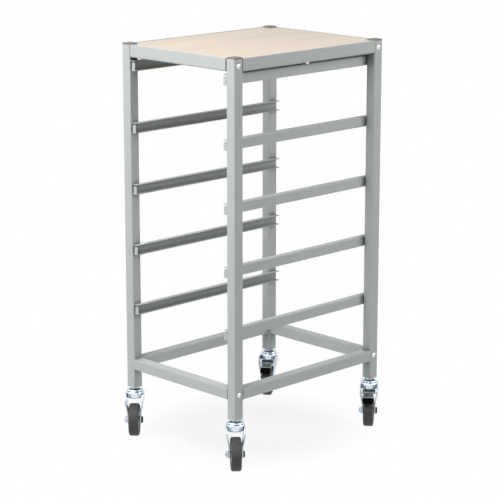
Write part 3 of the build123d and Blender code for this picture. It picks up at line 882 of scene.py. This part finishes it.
class TROLLEY_OT_brakes(bpy.types.Operator):
    """Make the brake levers, with raised rims and an end lip, and their black pedals"""

    bl_idname = "trolley.brakes"
    bl_label = "Brakes"

    def execute(self, context):
        lever = self.lever()
        mark_faces(lever, self.is_rim)
        smooth(lever)
        # The rims and lip take the lighter steel: partly bare polished edges, partly a painted highlight.
        fit_to_corners(lever, "brake_lever", BRAKED_CORNERS, "brake", ["dull_zinc", "polished_steel"])
        pedal = self.pedal()
        smooth(pedal)
        fit_to_corners(pedal, "brake_pedal", BRAKED_CORNERS, "brake", ["black_moulding"])
        return {"FINISHED"}

    def on_slope(self, reach, rise=0.0):
        """Place on the lever's sloping part: reach from its knee, rise above its top face."""
        x = LEVER_KNEE[0] + reach * cos(LEVER_SLOPE) + rise * sin(LEVER_SLOPE)
        return x, LEVER_KNEE[1] - reach * sin(LEVER_SLOPE) + rise * cos(LEVER_SLOPE)

    def is_rim(self, x, y, z):
        """True on the rims that stand above the lever's sloping top, and on the lip across its end."""
        across = x - LEVER_KNEE[0]
        up = z - LEVER_KNEE[1]
        reach = across * cos(LEVER_SLOPE) - up * sin(LEVER_SLOPE)
        rise = across * sin(LEVER_SLOPE) + up * cos(LEVER_SLOPE)
        over_top, near_end = 0.1, 18.5
        return rise > over_top or reach > near_end

    def lever(self):
        """Bent plate with rims, a lip, cheeks round the pin and a shoe over the tyre, all with soft edges."""
        at = self.on_slope
        half = LEVER_HALF_WIDTH
        # Small insets keep the faces of joined pieces out of each other's planes.
        inset = 0.05
        lever = self.lever_plate()
        lip = [at(16.7, 2.4), at(19, 2.4), at(19, -3), at(16.7, -3)]
        shoe = [(32, 81.6), (33, 81.6), at(6.8, -1), (38.5, 73.8), (35.2, 74.6), (32, 75.1)]
        rim = [at(2, -1.5), at(2, -0.3), at(4.5, 2.35), at(18.9, 2.35), at(18.9, -1.5)]
        cheek = [(18, 80.2), (18, 83.5), (35, 80.4), (35, 78.7), (31, 77.2), (21, 77.2)]
        added = [(lip, inset - half, half - inset), (shoe, -8, 8)]
        for outline, sheet in ((rim, 2.3), (cheek, 2)):
            added += [(outline, low, low + sheet) for low in (-half, half - sheet)]
        for outline, low, high in added:
            piece = plate("piece", outline, low, high)
            soften(piece, LEVER_EDGE * MM)
            combine(lever, piece, "UNION")
        drill(lever, BRAKE_PIN_HOLE, *BRAKE_PIN)
        return lever

    def lever_plate(self):
        """Plate with a knee, whose wide tail under the crown narrows to the sloping part."""
        at = self.on_slope
        tail = 14.6
        slope = LEVER_HALF_WIDTH - 0.1
        top = [(10, 84.1), (17, 84), (31, 82.83), at(2), at(18.8)]
        below = [at(18.8, -2), at(1.5, -2), (31.3, 80.8), (17, 82), (10, 82.1)]
        lever = plate("lever", top + below, -tail - 1, tail + 1)
        plan = mirrored([(9, tail), (26, tail), (29, slope), (60, slope)])
        combine(lever, slab("plan", plan, 60, 100), "INTERSECT")
        soften(lever, LEVER_EDGE * MM)
        return lever

    def pedal(self):
        """Moulded pedal in front of the lip: narrower towards its rounded end, with three grip ribs."""
        at = self.on_slope
        start, end = 19.2, 34.5
        top, bottom = 0.8, -4.4
        cut = 1.4
        profile = [at(start, top), at(end - cut, top), at(end, top - cut)]
        profile += [at(end, bottom + cut), at(end - cut, bottom), at(start, bottom)]
        pedal = plate("pedal", profile, -15, 15)
        taper = ((29, 12.3), (33, 10.6), (34.5, 8), (36, 5))
        plan = mirrored([(33, 12.3)] + [(at(reach, top)[0], y) for reach, y in taper])
        combine(pedal, slab("plan", plan, 50, 100), "INTERSECT")
        soften(pedal, 0.6 * MM, 3)
        for reach in (22.5, 25.5, 28.5):
            rib = [at(reach - 0.9, 0.4), at(reach - 0.5, 1.3), at(reach + 0.5, 1.3), at(reach + 0.9, 0.4)]
            combine(pedal, plate("rib", rib, -9, 9), "UNION")
        return pedal


class TROLLEY_OT_stage(bpy.types.Operator):
    """Lay the floor, light the studio and set up the camera"""

    bl_idname = "trolley.stage"
    bl_label = "Studio"

    def execute(self, context):
        studio = context.scene.trolley_studio
        self.add_floor(studio)
        self.light_room(context, studio)
        self.add_lamp("front_light", (0, -1.4, 2.4), 1.6, studio.front_power)
        self.add_lamp("right_light", (1.6, 0.9, 1.6), 1.2, studio.right_power)
        self.add_lamp("left_light", (-0.6, -2.0, 1.4), 1.6, studio.left_power)
        back_light = self.add_lamp("back_light", (-1.5, 1.7, 0.55), 0.8, studio.back_power)
        back_light.visible_glossy = False
        self.add_camera(context, studio)
        return {"FINISHED"}

    def add_floor(self, studio):
        deselect_all()
        bpy.ops.mesh.primitive_grid_add(x_subdivisions=4, y_subdivisions=4, size=studio.floor_size)
        floor = bpy.context.object
        floor.name = "floor"
        finish_piece(floor, self.floor_finish())

    def floor_finish(self):
        """White floor: seen directly it glows white by itself, but keeps a soft shadow near the trolley."""
        shadow_inside, shadow_outside = 0.14, 0.29
        least_glow = 0.80
        material = bpy.data.materials.new("studio_floor")
        material.use_nodes = True
        material.node_tree.nodes.clear()
        wiring = Wiring(material.node_tree)
        matt = wiring.node("ShaderNodeBsdfDiffuse")
        wiring.feed((0.75, 0.75, 0.75), matt.inputs["Color"])
        glow = wiring.node("ShaderNodeEmission")
        distance = wiring.node("ShaderNodeVectorMath", operation="LENGTH")
        wiring.link(wiring.node("ShaderNodeTexCoord").outputs["Object"], distance.inputs[0])
        glowing = wiring.ranged(distance.outputs["Value"], least_glow, 1.0, shadow_inside, shadow_outside)
        mix = wiring.node("ShaderNodeMixShader")
        wiring.link(wiring.maths("MULTIPLY", glowing, wiring.seen_directly()), mix.inputs["Fac"])
        wiring.link(matt.outputs["BSDF"], mix.inputs[1])
        wiring.link(glow.outputs["Emission"], mix.inputs[2])
        output = wiring.node("ShaderNodeOutputMaterial")
        wiring.link(mix.outputs["Shader"], output.inputs["Surface"])
        return material

    def light_room(self, context, studio):
        """Even light all round, with a white backdrop where the camera, gloss or glass sees it."""
        world = bpy.data.worlds.new("studio_room")
        world.use_nodes = True
        context.scene.world = world
        wiring = Wiring(world.node_tree)
        background = world.node_tree.nodes["Background"]
        wiring.feed((1, 1, 1), background.inputs["Color"])
        strength = wiring.ranged(wiring.seen_directly(), studio.room_light, 1.0, 0.0, 1.0)
        wiring.link(strength, background.inputs["Strength"])

    def add_lamp(self, name, place, size, power):
        """Round softbox that points at the middle of the trolley."""
        middle = Vector((0, 0, 0.5))
        lamp = bpy.data.lights.new(name, "AREA")
        lamp.shape = "DISK"
        lamp.size = size
        lamp.energy = power
        holder = bpy.data.objects.new(name, lamp)
        holder.location = place
        aim = middle - Vector(place)
        holder.rotation_euler = aim.to_track_quat("-Z", "Y").to_euler()
        bpy.context.scene.collection.objects.link(holder)
        return holder

    def add_camera(self, context, studio):
        camera = bpy.data.cameras.new("photo_camera")
        camera.lens = studio.camera_lens
        holder = bpy.data.objects.new("photo_camera", camera)
        holder.location = studio.camera_place
        holder.rotation_euler = (pi / 2 - studio.camera_pitch, 0, studio.camera_yaw)
        context.scene.collection.objects.link(holder)
        context.scene.camera = holder
        context.scene.view_settings.view_transform = "Standard"


class TROLLEY_PT_panel(bpy.types.Panel):
    """Lists the steps that dress the trolley"""

    bl_idname = "TROLLEY_PT_panel"
    bl_label = "Tray Trolley"
    bl_space_type = "VIEW_3D"
    bl_region_type = "UI"
    bl_category = "Trolley"

    def draw(self, context):
        for step in STEPS:
            self.layout.operator(step.bl_idname)
        scene = context.scene
        for settings in (scene.trolley_sizes, scene.trolley_colours, scene.trolley_studio):
            column = self.layout.column()
            for name in settings.__annotations__:
                column.prop(settings, name)


STEPS = (
    TROLLEY_OT_frame_finish,
    TROLLEY_OT_castor_tops,
    TROLLEY_OT_forks,
    TROLLEY_OT_axles,
    TROLLEY_OT_hubs,
    TROLLEY_OT_tyres,
    TROLLEY_OT_brakes,
    TROLLEY_OT_stage,
)
CLASSES = (TrolleySizes, TrolleyColours, TrolleyStudio, *STEPS, TROLLEY_PT_panel)


def register():
    for each in CLASSES:
        bpy.utils.register_class(each)
    bpy.types.Scene.trolley_sizes = PointerProperty(type=TrolleySizes)
    bpy.types.Scene.trolley_colours = PointerProperty(type=TrolleyColours)
    bpy.types.Scene.trolley_studio = PointerProperty(type=TrolleyStudio)


def unregister():
    del bpy.types.Scene.trolley_sizes
    del bpy.types.Scene.trolley_colours
    del bpy.types.Scene.trolley_studio
    for each in reversed(CLASSES):
        bpy.utils.unregister_class(each)


def main():
    register()
    bpy.ops.trolley.frame_finish()
    bpy.ops.trolley.castor_tops()
    bpy.ops.trolley.forks()
    bpy.ops.trolley.axles()
    bpy.ops.trolley.hubs()
    bpy.ops.trolley.tyres()
    bpy.ops.trolley.brakes()
    bpy.ops.trolley.stage()


if __name__ == "__main__":
    main()
